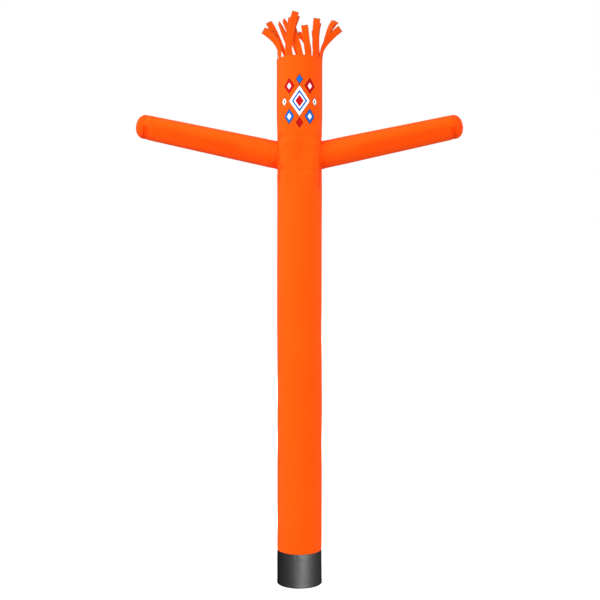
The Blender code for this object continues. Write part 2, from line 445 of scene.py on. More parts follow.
def lozenge_group() -> bpy.types.NodeTree:
    """A printed lozenge, which is a square stood on its corner.

    Returns:
        A group from cloth coordinates to the lozenge's mask, with a crisp inked edge.
    """
    bleed = 0.0006
    graph, given, made = new_group(
        "Printed Lozenge",
        {
            "Cloth": Socket.PLACE,
            "Centre": Socket.PLACE,
            "Half Width": Socket.VALUE,
            "Half Height": Socket.VALUE,
        },
        {"Mask": Socket.VALUE},
    )
    offset = graph.add("ShaderNodeVectorMath", operation="SUBTRACT")
    graph.feed(offset.inputs[0], given.outputs["Cloth"])
    graph.feed(offset.inputs[1], given.outputs["Centre"])
    split = graph.add("ShaderNodeSeparateXYZ")
    graph.feed(split.inputs[0], offset.outputs[0])
    across = graph.math("DIVIDE", graph.math("ABSOLUTE", split.outputs["X"]), given.outputs["Half Width"])
    up = graph.math("DIVIDE", graph.math("ABSOLUTE", split.outputs["Y"]), given.outputs["Half Height"])
    past_edge = graph.math("SUBTRACT", 1.0, graph.math("ADD", across, up))
    inside = graph.math("MULTIPLY", past_edge, given.outputs["Half Width"])
    graph.feed(made.inputs["Mask"], graph.between(inside, -bleed, bleed))
    return graph.tree


# Finishes


Colour = tuple[float, float, float, float]


@dataclass(frozen=True)
class ClothFinish:
    """A woven cloth: its colours, gloss and weave."""

    name: str
    base: Colour
    deep: Colour
    gloss: Colour
    roughness: float
    specular: float
    unevenness: float
    thread_pitch: float = 0.0009
    grid_pitch: float = 0.0062
    grid_height: float = 1.0
    weave_depth: float = 0.00010
    crinkle_depth: float = 0.0009
    relief_strength: float = 0.6
    crinkle_roughness: float = 0.12

    def material(
        self, groups: "ShaderGroups", prints: Sequence["PrintedLozenge"] = ()
    ) -> bpy.types.Material:
        """Build the cloth's material.

        Args:
            groups: the node groups that the materials share.
            prints: printed shapes, the lowest first.

        Returns:
            The new material.
        """
        material = bpy.data.materials.new(self.name)
        material.use_nodes = True
        graph = Graph(material.node_tree)
        shader = material.node_tree.nodes["Principled BSDF"]
        cloth = graph.add("ShaderNodeUVMap", uv_map=CLOTH_MAP).outputs["UV"]
        place = graph.add("ShaderNodeTexCoord").outputs["Object"]
        weave = graph.group(
            groups.weave,
            Cloth=cloth,
            Thread_Pitch=self.thread_pitch,
            Grid_Pitch=self.grid_pitch,
            Grid_Height=self.grid_height,
        )
        tone = graph.group(
            groups.tone,
            Base=self.base,
            Deep=self.deep,
            Place=place,
            Grid=weave.outputs["Grid"],
            Unevenness=self.unevenness,
        )
        colour = tone.outputs["Colour"]
        for shape in prints:
            colour = graph.mix(shape.mask(graph, groups, cloth), colour, shape.ink.value)
        graph.feed(shader.inputs["Base Color"], colour)
        crinkle = tone.outputs["Crinkle"]
        height = graph.math("MULTIPLY", crinkle, self.crinkle_depth / self.weave_depth)
        height = graph.math("ADD", height, weave.outputs["Height"])
        relief = graph.add("ShaderNodeBump")
        relief.inputs["Strength"].default_value = self.relief_strength
        relief.inputs["Distance"].default_value = self.weave_depth
        graph.feed(relief.inputs["Height"], height)
        graph.feed(shader.inputs["Normal"], relief.outputs["Normal"])
        smoothest = self.roughness - 0.5 * self.crinkle_roughness
        rough = graph.math("MULTIPLY_ADD", crinkle, self.crinkle_roughness, smoothest)
        graph.feed(shader.inputs["Roughness"], rough)
        shader.inputs["Specular IOR Level"].default_value = self.specular
        shader.inputs["Specular Tint"].default_value = self.gloss
        return material


@dataclass(frozen=True)
class ShaderGroups:
    """The node groups that the materials share."""

    weave: bpy.types.NodeTree
    tone: bpy.types.NodeTree
    lozenge: bpy.types.NodeTree


class Ink(Enum):
    """Colours of the print on the head."""

    WHITE = (0.93, 0.93, 0.92, 1.0)
    BLACK = (0.008, 0.008, 0.009, 1.0)
    BLUE = (0.009, 0.13, 0.50, 1.0)
    RED = (0.50, 0.006, 0.010, 1.0)


@dataclass(frozen=True)
class PrintedLozenge:
    """One lozenge in one ink, by its centre and half its size on the cloth."""

    ink: Ink
    centre: tuple[float, float]
    half: tuple[float, float]

    def mask(self, graph: Graph, groups: ShaderGroups, cloth: bpy.types.NodeSocket) -> bpy.types.NodeSocket:
        """Where the ink lies, 0 to 1.

        Args:
            graph: the material's nodes.
            groups: the shared node groups.
            cloth: the cloth coordinates.

        Returns:
            The mask's output.
        """
        node = graph.group(
            groups.lozenge,
            Cloth=cloth,
            Centre=(*self.centre, 0.0),
            Half_Width=self.half[0],
            Half_Height=self.half[1],
        )
        return node.outputs["Mask"]


@dataclass(frozen=True)
class HarlequinPrint:
    """A harlequin pattern on the head's front: one large lozenge among small ones.

    Heights are above the floor, and every lozenge is slope times as tall as it is
    wide.  Each is printed in rings of ink, the widest first.
    """

    height: float = 4.875
    slope: float = 1.45
    outline: float = 0.007
    large: float = 0.104
    corner: float = 0.050
    corner_apart: tuple[float, float] = (0.105, 0.152)
    end: float = 0.031
    end_gap: float = 0.020
    side: float = 0.027
    side_apart: float = 0.163

    def shapes(self) -> list[PrintedLozenge]:
        """Lay out the print.

        Returns:
            Its lozenges, the lowest ink first.
        """
        shapes = self.rings((0.0, 0.0), self.large, (Ink.WHITE, Ink.BLUE, Ink.WHITE, Ink.RED), 0.74)
        for across in (-1, 1):
            for up in (-1, 1):
                place = (across * self.corner_apart[0], up * self.corner_apart[1])
                inks = (Ink.RED, Ink.WHITE) if up > 0 else (Ink.BLUE, Ink.WHITE)
                shapes += self.rings(place, self.corner, inks, 0.45)
            shapes += self.rings((across * self.side_apart, 0.0), self.side, (Ink.WHITE, Ink.BLACK), 0.4)
        beyond = self.slope * (self.large + self.end) + self.end_gap
        for up, ink in ((-1, Ink.RED), (1, Ink.BLUE)):
            shapes += self.rings((0.0, up * beyond), self.end, (ink,), 1.0)
        return shapes

    def rings(
        self, place: tuple[float, float], half_width: float, inks: Sequence[Ink], shrink: float
    ) -> list[PrintedLozenge]:
        """One lozenge outlined in black and filled with ever smaller ones.

        Args:
            place: the centre, across and up from the print's middle.
            half_width: half the widest ink's width, without its outline.
            inks: the inks from the widest to the smallest.
            shrink: the share of its width that each ink leaves to the next.

        Returns:
            The lozenges, the lowest ink first.
        """
        centre = (place[0], self.height + place[1])
        widths = [(Ink.BLACK, half_width + self.outline)]
        widths += [(ink, half_width * shrink**k) for k, ink in enumerate(inks)]
        return [PrintedLozenge(ink, centre, (half, half * self.slope)) for ink, half in widths]


ORANGE_NYLON = ClothFinish(
    name="orange ripstop nylon",
    base=(0.98, 0.091, 0.0042, 1.0),
    deep=(0.90, 0.038, 0.0020, 1.0),
    gloss=(1.0, 0.25, 0.03, 1.0),
    roughness=0.48,
    specular=0.05,
    unevenness=0.10,
)
BLACK_CUFF_CLOTH = ClothFinish(
    name="black coated cuff cloth",
    base=(0.007, 0.007, 0.0075, 1.0),
    deep=(0.0035, 0.0035, 0.0038, 1.0),
    gloss=(1.0, 1.0, 1.0, 1.0),
    roughness=0.63,
    specular=1.0,
    unevenness=0.25,
    thread_pitch=0.0014,
    grid_height=0.0,
    weave_depth=0.00022,
    crinkle_depth=0.0006,
)


@dataclass(frozen=True)
class ThreadFinish:
    """Sewing thread: a soft twisted sheen."""

    name: str
    colour: Colour
    roughness: float = 0.5
    strand_scale: float = 900.0
    hollow_tone: float = 0.7

    def material(self) -> bpy.types.Material:
        """Build the thread's material, a little uneven along its length.

        Returns:
            The new material.
        """
        material = bpy.data.materials.new(self.name)
        material.use_nodes = True
        graph = Graph(material.node_tree)
        shader = material.node_tree.nodes["Principled BSDF"]
        place = graph.add("ShaderNodeTexCoord").outputs["Object"]
        strand = graph.noise(place, self.strand_scale, 1.0)
        darker = tuple(self.hollow_tone * c for c in self.colour[:3]) + (1.0,)
        graph.feed(shader.inputs["Base Color"], graph.mix(strand, darker, self.colour))
        shader.inputs["Roughness"].default_value = self.roughness
        return material


ORANGE_THREAD = ThreadFinish("orange sewing thread", (0.85, 0.068, 0.003, 1.0))
BLACK_THREAD = ThreadFinish("black sewing thread", (0.03, 0.03, 0.032, 1.0))


@dataclass(frozen=True)
class Finishes:
    """The finished materials, built once."""

    orange: bpy.types.Material
    head: bpy.types.Material
    cuff: bpy.types.Material
    orange_thread: bpy.types.Material
    black_thread: bpy.types.Material

    @classmethod
    def build(cls) -> "Finishes":
        """Build the shared groups and every material.

        Returns:
            The finished materials.
        """
        groups = ShaderGroups(weave_group(), cloth_tone_group(), lozenge_group())
        printed = replace(ORANGE_NYLON, name="printed orange nylon")
        return cls(
            orange=ORANGE_NYLON.material(groups),
            head=printed.material(groups, HarlequinPrint().shapes()),
            cuff=BLACK_CUFF_CLOTH.material(groups),
            orange_thread=ORANGE_THREAD.material(),
            black_thread=BLACK_THREAD.material(),
        )


class Slot(Enum):
    """The record's material slots."""

    ORANGE = "orange_cloth"
    BLACK = "black_cuff_cloth"


def hand_over(piece: bpy.types.Object, material: bpy.types.Material) -> bpy.types.Object:
    """Dress a piece and fix it to the body.

    Args:
        piece: the piece to finish.
        material: what it is dressed in.

    Returns:
        The same piece.
    """
    piece.data.materials.append(material)
    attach(piece, BODY)
    triangles = sum(len(face.vertices) - 2 for face in piece.data.polygons)
    LOG.info("%s: %d triangles", piece.name, triangles)
    return piece


# The blown-up shapes


@dataclass(frozen=True)
class Dent:
    """A soft dent in the tube's side."""

    azimuth: float
    height: float
    depth: float
    half_width: float
    half_height: float


@dataclass(frozen=True)
class Fold:
    """A soft straight fold between two places; a negative rise makes a valley.

    A place is an azimuth in degrees and a distance along the tube or arm.
    """

    start: tuple[float, float]
    end: tuple[float, float]
    rise: float
    half_width: float

    def nearness(self, azimuth: float, along: float, radius: float) -> float:
        """How near the fold's middle line a place lies, 0 to 1.

        Args:
            azimuth: the place's direction round the tube or arm, in radians.
            along: its place along it.
            radius: the tube's or arm's radius.

        Returns:
            1 on the middle line, fading to 0 beside it.
        """
        low, high = sorted((self.start[1], self.end[1]))
        if max(low - along, along - high) > 2.5 * self.half_width:
            return 0.0
        start = Vector((math.radians(self.start[0]) * radius, self.start[1]))
        span = Vector((math.radians(self.end[0]) * radius, self.end[1])) - start
        away = Vector((azimuth * radius, along)) - start
        share = min(1.0, max(0.0, away.dot(span) / span.length_squared))
        return bump((away - span * share).length, self.half_width)


@dataclass(frozen=True)
class Wrinkle:
    """One size of uneven cloth: its height and its spacing across and along.

    Its reach is how far from a seam it dies out.
    """

    height: float
    across: float
    along: float = math.inf
    reach: float = math.inf

    def rise(self, x: float, y: float, along: float, shift: float = 0.0, away: float = 0.0) -> float:
        """The cloth's rise at a place.

        Args:
            x: the place's first coordinate across the tube.
            y: its second one.
            along: its place along the tube.
            shift: what sets one seam's wrinkles apart from another's.
            away: its distance from the seam.

        Returns:
            The rise outward in metres.
        """
        pattern = grain(x / self.across, y / self.across, along / self.along + shift)
        return self.height * bump(away, self.reach) * pattern


@dataclass(frozen=True)
class TubeShape:
    """The upright tube's blown-up wall, as in the solids, with its finer creases."""

    radius: float = 0.2285
    head_radius: float = 0.2335
    head_swell: float = 0.30
    # How far a seam draws the wall in, and how far along that shows.
    seam_pinch: float = 0.003
    seam_reach: float = 0.022
    # How far from round the air leaves the tube, and how the arms' seams pull the chest.
    slack: float = 0.0012
    shoulder: float = 0.020
    chest_flat: float = 0.012
    shoulder_fade: float = 0.25
    # Folded hems at the cross seams, the foot, the head's top and the back.
    hem_width: float = 0.012
    hem_rise: float = 0.0011
    foot_hem: float = 0.024
    top_hem: float = 0.016
    back_hem: float = 0.006
    back_hem_share: float = 0.8
    cuff_top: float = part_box("base_cuff")[1][2]
    chest_bottom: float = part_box("chest_panel")[0][2]
    chest_top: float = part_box("chest_panel")[1][2]
    head_top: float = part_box("head_tube")[1][2]
    dents: tuple[Dent, ...] = (
        Dent(-88, 0.61, 0.004, 0.10, 0.16),
        Dent(-95, 1.45, 0.004, 0.09, 0.15),
        Dent(-84, 1.94, 0.005, 0.10, 0.17),
        Dent(86, 1.41, 0.004, 0.10, 0.16),
        Dent(94, 2.58, 0.005, 0.10, 0.18),
        Dent(170, 3.10, 0.005, 0.12, 0.20),
        Dent(-150, 0.95, 0.005, 0.12, 0.20),
    )
    folds: tuple[Fold, ...] = (
        Fold((-66, 4.365), (-30, 4.462), 0.014, 0.028),
        Fold((66, 4.370), (34, 4.450), 0.010, 0.028),
        Fold((-50, 4.222), (-48, 4.242), -0.009, 0.026),
        Fold((-66, 4.100), (-64, 4.200), -0.010, 0.034),
        Fold((-35, 4.050), (-37, 4.300), 0.009, 0.028),
        Fold((60, 4.050), (66, 4.330), -0.010, 0.036),
        Fold((30, 4.100), (34, 4.310), 0.007, 0.032),
        Fold((-62, 4.515), (-52, 4.540), -0.005, 0.024),
        Fold((62, 4.515), (70, 4.540), -0.005, 0.024),
        Fold((-2, 4.330), (4, 4.470), -0.004, 0.056),
        Fold((40, 4.340), (44, 4.570), 0.006, 0.034),
    )
    # Uneven cloth: all over, round the cross seams and beside the back seam.
    drape: Wrinkle = Wrinkle(0.0010, 0.16, 0.45)
    ripple: Wrinkle = Wrinkle(0.0004, 0.05, 0.11)
    pucker: Wrinkle = Wrinkle(0.0016, 0.017, 0.10, 0.024)
    drag: Wrinkle = Wrinkle(0.0016, 0.035, 0.40, 0.11)
    back_pull: Wrinkle = Wrinkle(0.0010, 0.03, 0.035, 0.025)
    back_shift: float = 0.141
    # How far from the seams their wrinkles are still counted.
    seam_zone: float = 0.35
    back_zone: float = 0.10
    # How wide the painted shade line along a seam is, and how deep a fold is at full painted shade.
    seam_pit: float = 0.0022
    deepest_fold: float = 0.011

    def seams(self) -> tuple[float, float, float]:
        """Heights of the cross seams."""
        return self.cuff_top, self.chest_bottom, self.chest_top

    def shoulder_pull(self, azimuth: float, height: float) -> float:
        """How far out the arms' seams pull the chest.

        Args:
            azimuth: the place's direction round the tube, 0 at the front.
            height: its height above the floor.

        Returns:
            The pull outward in metres.
        """
        low, high = self.chest_bottom - self.shoulder_fade, self.chest_top + self.shoulder_fade
        strength = ease((height - low) / self.shoulder_fade) * ease((high - height) / self.shoulder_fade)
        beside = self.shoulder * math.sin(2.0 * azimuth) ** 2
        return strength * (beside - self.chest_flat * math.cos(azimuth) ** 4)

    def main_form(self, azimuth: float, height: float) -> float:
        """Outer radius without the fine creases.

        Args:
            azimuth: the place's direction round the tube, 0 at the front.
            height: its height above the floor.

        Returns:
            The radius in metres.
        """
        swell = ease((height - self.chest_top) / self.head_swell)
        radius = blend(self.radius, self.head_radius, swell) + self.shoulder_pull(azimuth, height)
        for seam in self.seams():
            radius -= self.seam_pinch * bump(height - seam, self.seam_reach)
        for dent in self.dents:
            turn = (azimuth - math.radians(dent.azimuth) + math.pi) % (2.0 * math.pi) - math.pi
            across = bump(turn * self.radius, dent.half_width)
            radius -= dent.depth * across * bump(height - dent.height, dent.half_height)
        fading = ease(height / self.cuff_top) * ease((self.chest_bottom - height) / self.cuff_top)
        return radius + self.slack * fading * math.sin(3.0 * azimuth + 2.1 * height)

    def folds_at(self, azimuth: float, height: float) -> list[float]:
        """Each fold's rise at a place; the back has the front's folds."""
        turn = azimuth if abs(azimuth) < 0.5 * math.pi else math.copysign(math.pi, azimuth) - azimuth
        return [fold.rise * fold.nearness(turn, height, self.radius) for fold in self.folds]

    def crease(self, azimuth: float, height: float) -> float:
        """Fine relief of the cloth, with its folds.

        Args:
            azimuth: the place's direction round the tube, 0 at the front.
            height: its height above the floor.

        Returns:
            The relief in metres, outward.
        """
        x, y = self.radius * math.sin(azimuth), -self.radius * math.cos(azimuth)
        relief = self.drape.rise(x, y, height) + self.ripple.rise(x, y, height, 9.0)
        for seam in self.seams():
            away = abs(height - seam)
            if away < self.seam_zone:
                relief += self.pucker.rise(x, y, height, seam, away)
                relief += self.drag.rise(x, y, height, seam * 3.1, away)
        back = abs(abs(azimuth) - math.pi) * self.radius
        if back < self.back_zone:
            relief += self.back_pull.rise(back, self.back_shift, height, away=back)
        pressed_flat = ease(height / 0.05 + 0.15)  # the foot rests on the floor
        return relief * pressed_flat + sum(self.folds_at(azimuth, height))

    def hems(self, azimuth: float, height: float) -> float:
        """Ridges of folded cloth at the seams and down the back.

        Args:
            azimuth: the place's direction round the tube, 0 at the front.
            height: its height above the floor.

        Returns:
            The ridge's height in metres.
        """
        rise = max(hem(height - seam, self.hem_width) for seam in self.seams())
        ends = max(hem(self.head_top - height, self.top_hem), hem(height, self.foot_hem))
        back = abs(abs(azimuth) - math.pi) * self.radius
        return self.hem_rise * max(rise, ends, self.back_hem_share * hem(back, self.back_hem))

    def painted_shade_at(self, azimuth: float, height: float) -> float:
        """How much painted shade a place gets, in lines along the seams and in the fold valleys.

        Args:
            azimuth: the place's direction round the tube, 0 at the front.
            height: its height above the floor.

        Returns:
            0 on open cloth to 1 in a full crease.
        """
        cuff, low, high = (bump(height - seam, self.seam_pit) for seam in self.seams())
        # Painted shade lines along the cross seams; the one at the chest's foot is heavier toward the right
        # as seen from the front.
        lines = 0.55 * cuff + blend(0.25, 0.60, ease(0.5 + azimuth)) * low + 0.22 * high
        return min(1.0, lines - min(self.folds_at(azimuth, height)) / self.deepest_fold)

    def outer(self, azimuth: float, height: float) -> float:
        """Outer radius of the finished wall."""
        return self.main_form(azimuth, height) + self.crease(azimuth, height) + self.hems(azimuth, height)

    def at(self, azimuth: float, height: float) -> Vector:
        """A point on the wall."""
        return on_tube(azimuth, self.outer(azimuth, height), height)

    def inside(self, place: Vector, inset: float) -> Vector:
        """The point that lies inward of one on the wall."""
        share = 1.0 - inset / math.hypot(place.x, place.y)
        return Vector((place.x * share, place.y * share, place.z))


@dataclass(frozen=True)
class Crease:
    """A crease round an arm, counted from its root seam."""

    distance: float
    depth: float
    half_width: float
    drift: float


@dataclass(frozen=True)
class ArmShape:
    """One blown-up arm; side is -1 for the left and 1 for the right."""

    side: int
    gap: float = 0.0003
    # The arm slopes up from its root, and thins toward the cap's seam.
    rise: float = math.radians(12.05)
    root_height: float = 4.369
    root_radius: float = 0.1405
    seam_radius: float = 0.1235
    length: float = 1.375
    # How far a seam draws the wall in, and how far along that shows.
    seam_pinch: float = 0.003
    seam_reach: float = 0.022
    hem_width: float = 0.010
    hem_rise: float = 0.0011
    cap_depth: float = 0.098
    cap_fullness: float = 0.90
    cap_hem: float = 0.007
    cap_hem_rise: float = 0.0010
    cap_flat: float = 0.004
    creases: tuple[Crease, ...] = (
        Crease(0.036, 0.0034, 0.010, 0.010),
        Crease(0.062, 0.0018, 0.007, 0.014),
        Crease(0.090, 0.0024, 0.014, 0.018),
    )
    folds: tuple[Fold, ...] = (
        Fold((104, 1.348), (165, 1.354), -0.008, 0.028),
        Fold((40, 1.336), (64, 1.334), 0.012, 0.026),
        Fold((48, 0.250), (54, 1.290), 0.003, 0.040),
        Fold((104, 0.450), (98, 1.250), -0.003, 0.060),
        Fold((72, 0.012), (98, 0.060), 0.005, 0.013),
    )
    # Uneven cloth: all over, at the root, under it, and on both sides of the cap's seam.
    drape: Wrinkle = Wrinkle(0.0010, 0.10, 0.35)
    root_crinkle: Wrinkle = Wrinkle(0.0026, 0.09, 0.030, 0.16)
    under_crinkle: Wrinkle = Wrinkle(0.0030, 0.05, 0.045, 0.20)
    root_pucker: Wrinkle = Wrinkle(0.0016, 0.018, reach=0.05)
    tip_pucker: Wrinkle = Wrinkle(0.0020, 0.016, reach=0.030)
    tip_drag: Wrinkle = Wrinkle(0.0018, 0.035, reach=0.090)
    cap_pucker: Wrinkle = Wrinkle(0.0026, 0.125, reach=0.022)
    cap_drag: Wrinkle = Wrinkle(0.0030, 1.0 / 3.6, reach=0.055)
    # What counts as full painted shade, and how far the painted shade reaches at the seams and corners.
    deepest_crease: float = 0.0045
    deepest_fold: float = 0.007
    root_pit: float = 0.004
    tip_pit: float = 0.0025
    shoulder_pit: float = 0.030
    armpit_pit: float = 0.060
    tube: TubeShape = TubeShape()
    root_tries: int = 6

    def at(self, along: float, azimuth: float, radius: float) -> Vector:
        """A point round the arm's axis; azimuth 0 is the arm's upper side.

        Args:
            along: how far along the axis the point lies.
            azimuth: its direction round the axis.
            radius: its distance from the axis.

        Returns:
            The point.
        """
        lean, sink = math.cos(self.rise), math.sin(self.rise)
        up = radius * math.cos(azimuth)
        x = self.tube.radius + along * lean - up * sink
        z = self.root_height + along * sink + up * lean
        return Vector((self.side * x, -self.side * radius * math.sin(azimuth), z))

    def root_start(self, azimuth: float, radius: float) -> float:
        """How far along the axis the wall starts, on the chest panel's face.

        Args:
            azimuth: the wall's direction round the axis.
            radius: its distance from the axis.

        Returns:
            The distance along the axis.
        """
        across = radius * math.sin(azimuth)
        up = radius * math.cos(azimuth)
        along = 0.0
        for _ in range(self.root_tries):
            place = self.at(along, azimuth, radius)
            turn = math.atan2(place.x, -place.y)
            face = self.tube.main_form(turn, place.z) + self.tube.crease(turn, place.z) + self.gap
            reach = math.sqrt(face**2 - across**2)
            along = (reach - self.tube.radius + up * math.sin(self.rise)) / math.cos(self.rise)
        return along

    def main_form(self, distance: float) -> float:
        """Outer radius without the fine creases."""
        radius = blend(self.root_radius, self.seam_radius, distance / self.length)
        return radius - self.seam_pinch * bump(self.length - distance, self.seam_reach)

    def crease_depth(self, distance: float, azimuth: float) -> float:
        """Depth of the root's ring creases at a place.

        Args:
            distance: the place's distance from the arm's root seam.
            azimuth: its direction round the arm, 0 at the upper side.

        Returns:
            The depth in metres.
        """
        depth = 0.0
        for count, crease in enumerate(self.creases):
            x, y = 1.3 * math.cos(azimuth), 1.3 * math.sin(azimuth)
            wander = crease.drift * grain(x, y, 5.0 * count + self.side)
            strength = 0.6 + 0.4 * math.cos(2.0 * azimuth + self.side + 2.0 * count)
            depth += crease.depth * strength * bump(distance - crease.distance - wander, crease.half_width)
        return depth

    def folds_at(self, distance: float, azimuth: float) -> list[float]:
        """Each fold's rise at a place; the back has the front's folds."""
        return [fold.rise * fold.nearness(abs(azimuth), distance, self.root_radius) for fold in self.folds]

    def relief(self, distance: float, azimuth: float) -> float:
        """Fine relief of the arm's cloth, with its folds.

        Args:
            distance: the place's distance from the arm's root seam.
            azimuth: its direction round the arm, 0 at the upper side.

        Returns:
            The relief in metres, outward.
        """
        x, y = math.cos(azimuth) * self.root_radius, math.sin(azimuth) * self.root_radius
        seed = 3.0 * self.side
        under = ease(0.2 - math.cos(azimuth))
        tip = abs(self.length - distance)
        relief = self.drape.rise(x, y, distance, seed)
        relief += self.root_crinkle.rise(x, y, distance, seed, distance)
        relief += under * self.under_crinkle.rise(x, y, distance, -seed, distance)
        relief += self.root_pucker.rise(x, y, distance, seed, distance)
        relief += self.tip_pucker.rise(x, y, distance, seed + 5.0, tip)
        relief += self.tip_drag.rise(x, y, distance, seed + 8.0, tip)
        relief += sum(self.folds_at(distance, azimuth))
        held_by_seam = ease(distance / 0.012 + 0.2)
        return relief * held_by_seam - self.crease_depth(distance, azimuth)

    def hems(self, distance: float) -> float:
        """Ridges of folded cloth at the arm's two seams."""
        ends = (distance, self.length - distance)
        return self.hem_rise * max(hem(away, self.hem_width) for away in ends)

    def painted_shade_at(self, distance: float, azimuth: float) -> float:
        """How much painted shade a place gets: creases, seams, the shoulder and armpit corners, fold valleys,
        the underside and the top.

        Args:
            distance: the place's distance from the arm's root seam.
            azimuth: its direction round the arm, 0 at the upper side.

        Returns:
            0 on open cloth to 1 in a full crease.
        """
        creases = self.crease_depth(distance, azimuth) / self.deepest_crease
        valleys = -min(self.folds_at(distance, azimuth)) / self.deepest_fold
        up = math.cos(azimuth)
        seams = max(bump(distance, self.root_pit) * up**2, bump(self.length - distance, self.tip_pit))
        # Painted shade in the corners above and below the root, where the arm meets the chest.
        corner = bump(distance, self.shoulder_pit if up > 0.0 else self.armpit_pit) * up**2
        painted_top_and_under_shade = 0.25 * ease(0.5 - up) + 0.30 * ease((up - 0.62) / 0.38)  # painted shade on the underside and along the top
        return min(1.0, 0.40 * creases + 0.45 * seams + 0.90 * corner + valleys + painted_top_and_under_shade)

    def outer(self, distance: float, azimuth: float) -> float:
        """Outer radius of the finished wall."""
        return self.main_form(distance) + self.relief(distance, azimuth) + self.hems(distance)

    def wall_line(self, azimuth: float, distances: Sequence[float], inset: float = 0.0) -> Ring:
        """Points along the wall at one azimuth, from the slanted root to the square tip.

        Args:
            azimuth: the line's direction round the axis.
            distances: its places from the root seam.
            inset: how far inside the outer face it runs.

        Returns:
            The points, from the root.
        """
        start = self.root_start(azimuth, self.outer(0.0, azimuth) - inset)
        line = []
        for distance in distances:
            along = blend(start, self.length, distance / self.length)
            line.append(self.at(along, azimuth, self.outer(distance, azimuth) - inset))
        return line

    def off_axis(self, place: Vector) -> Vector:
        """The direction from the arm's axis to a place.

        Args:
            place: a point on the arm.

        Returns:
            The direction, of length 1.
        """
        root = self.at(0.0, 0.0, 0.0)
        axis = (self.at(1.0, 0.0, 0.0) - root).normalized()
        away = place - root
        return (away - axis * away.dot(axis)).normalized()

    def cap_point(self, angle: float, azimuth: float, inset: float = 0.0) -> Vector:
        """A point on the cap's dome.

        Args:
            angle: 0 at the cap's seam and a right angle at its tip.
            azimuth: the point's direction round the axis.
            inset: how far inside the outer face it lies.

        Returns:
            The point.
        """
        depth = self.cap_depth - inset
        beyond = depth * math.sin(angle) ** self.cap_fullness
        x, y = math.cos(azimuth), math.sin(azimuth)
        relief = self.cap_pucker.rise(x, y, 0.0, 3.0 * self.side + 5.0, beyond)
        relief += self.cap_drag.rise(x, y, 0.0, 2.0 - self.side, beyond)
        relief += self.cap_hem_rise * hem(beyond, self.cap_hem)
        swell = self.seam_radius - self.seam_pinch * bump(beyond, self.seam_reach) - inset + relief
        radius = swell * math.cos(angle) ** self.cap_fullness
        unevenness = grain(x * 1.5 * angle, y * 1.5 * angle, 6.0 + self.side)
        flat = self.cap_flat * unevenness * math.sin(angle)
        return self.at(self.length + self.gap + beyond - abs(flat), azimuth, radius)


# Sewn pieces


def turns(columns: int, seam_offsets: Sequence[float], radius: float) -> list[float]:
    """Azimuths from back to back, close together at the back seam.

    Args:
        columns: how many even steps there are.
        seam_offsets: distances from the back seam that get a column of their own.
        radius: the radius that those distances are measured on.

    Returns:
        Azimuths from -pi up to, and without, pi.
    """
    even = [-math.pi + 2.0 * math.pi * i / columns for i in range(columns)]
    extra = [s * (math.pi - d / radius) for d in seam_offsets for s in (-1.0, 1.0)]
    return sorted(even + extra)


def rings_from(lines: Sequence[Ring]) -> list[Ring]:
    """Turn lines of points along a wall into rings round it."""
    return [list(ring) for ring in zip(*lines)]


@dataclass
class TubePanel:
    """One cut panel of the upright tube, open at both ends."""

    name: str
    node: str
    shape: TubeShape
    slot: Slot
    cloth: float = CLOTH
    columns: int = 144
    middle_step: float = 0.036
    back_columns: tuple[float, ...] = (0.003, 0.006, 0.008)

    def span(self) -> tuple[float, float]:
        """The panel's lowest and highest place, from its solid."""
        low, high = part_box(self.node)
        return low[2], high[2]

    def mesh(self) -> ClothMesh:
        """The panel's wall, outside and inside.

        Returns:
            The points and faces, not yet an object.
        """
        bottom, top = self.span()
        heights = seam_steps(bottom, top, self.middle_step)
        azimuths = turns(self.columns, self.back_columns, self.shape.radius)
        outer = [[self.shape.at(a, z) for a in azimuths] for z in heights]
        inner = [[self.shape.inside(point, self.cloth) for point in ring] for ring in reversed(outer)]
        painted_shades = [[self.shape.painted_shade_at(a, z) for a in azimuths] for z in heights]
        around = [a * self.shape.radius for a in azimuths] + [math.pi * self.shape.radius]
        made = ClothMesh()
        along = heights + heights[::-1]
        made.add_rings(outer + inner, around, along, True, shade=painted_shades + painted_shades[::-1])
        return made

    def build(self, material: bpy.types.Material) -> bpy.types.Object:
        """Make the panel in its solid's place and hide the solid.

        Args:
            material: the cloth's material.

        Returns:
            The finished piece.
        """
        piece = self.mesh().build(self.name)
        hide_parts(self.node)
        return hand_over(piece, material)


@dataclass
class ChestPanel(TubePanel):
    """The panel that carries the arms, with a hole for each."""

    arms: tuple[ArmShape, ...] = ()
    hole_sides: int = 96
    hole_reach: float = 0.1

    def cutter(self, arm: ArmShape) -> bpy.types.Object:
        """A plug of the arm's bore, through the wall.

        Args:
            arm: the arm that the hole is for.

        Returns:
            The plug.
        """
        azimuths = turns(self.hole_sides, (), arm.root_radius)
        ends = (-self.hole_reach, self.hole_reach)
        plug = ClothMesh()
        rings = [[arm.at(s, a, arm.root_radius - CLOTH) for a in azimuths] for s in ends]
        plug.add_rings(rings, [0.0] * (len(azimuths) + 1), [0.0, 0.0], False)
        return plug.build(f"bore_{arm.side:+d}")

    def build(self, material: bpy.types.Material) -> bpy.types.Object:
        """Make the panel and cut its arm holes.

        Args:
            material: the cloth's material.

        Returns:
            The finished piece.
        """
        piece = self.mesh().build(self.name)
        cutters = [self.cutter(arm) for arm in self.arms]
        for cutter in cutters:
            hole = piece.modifiers.new(cutter.name, "BOOLEAN")
            hole.operation = "DIFFERENCE"
            hole.object = cutter
        bpy.context.view_layer.update()
        cut = piece.evaluated_get(bpy.context.evaluated_depsgraph_get())
        piece_mesh = bpy.data.meshes.new_from_object(cut)
        piece.modifiers.clear()
        piece.data = piece_mesh
        for cutter in cutters:
            bpy.data.objects.remove(cutter, do_unlink=True)
        bottom, top = self.span()
        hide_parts(self.node)
        return hand_over(piece, material)


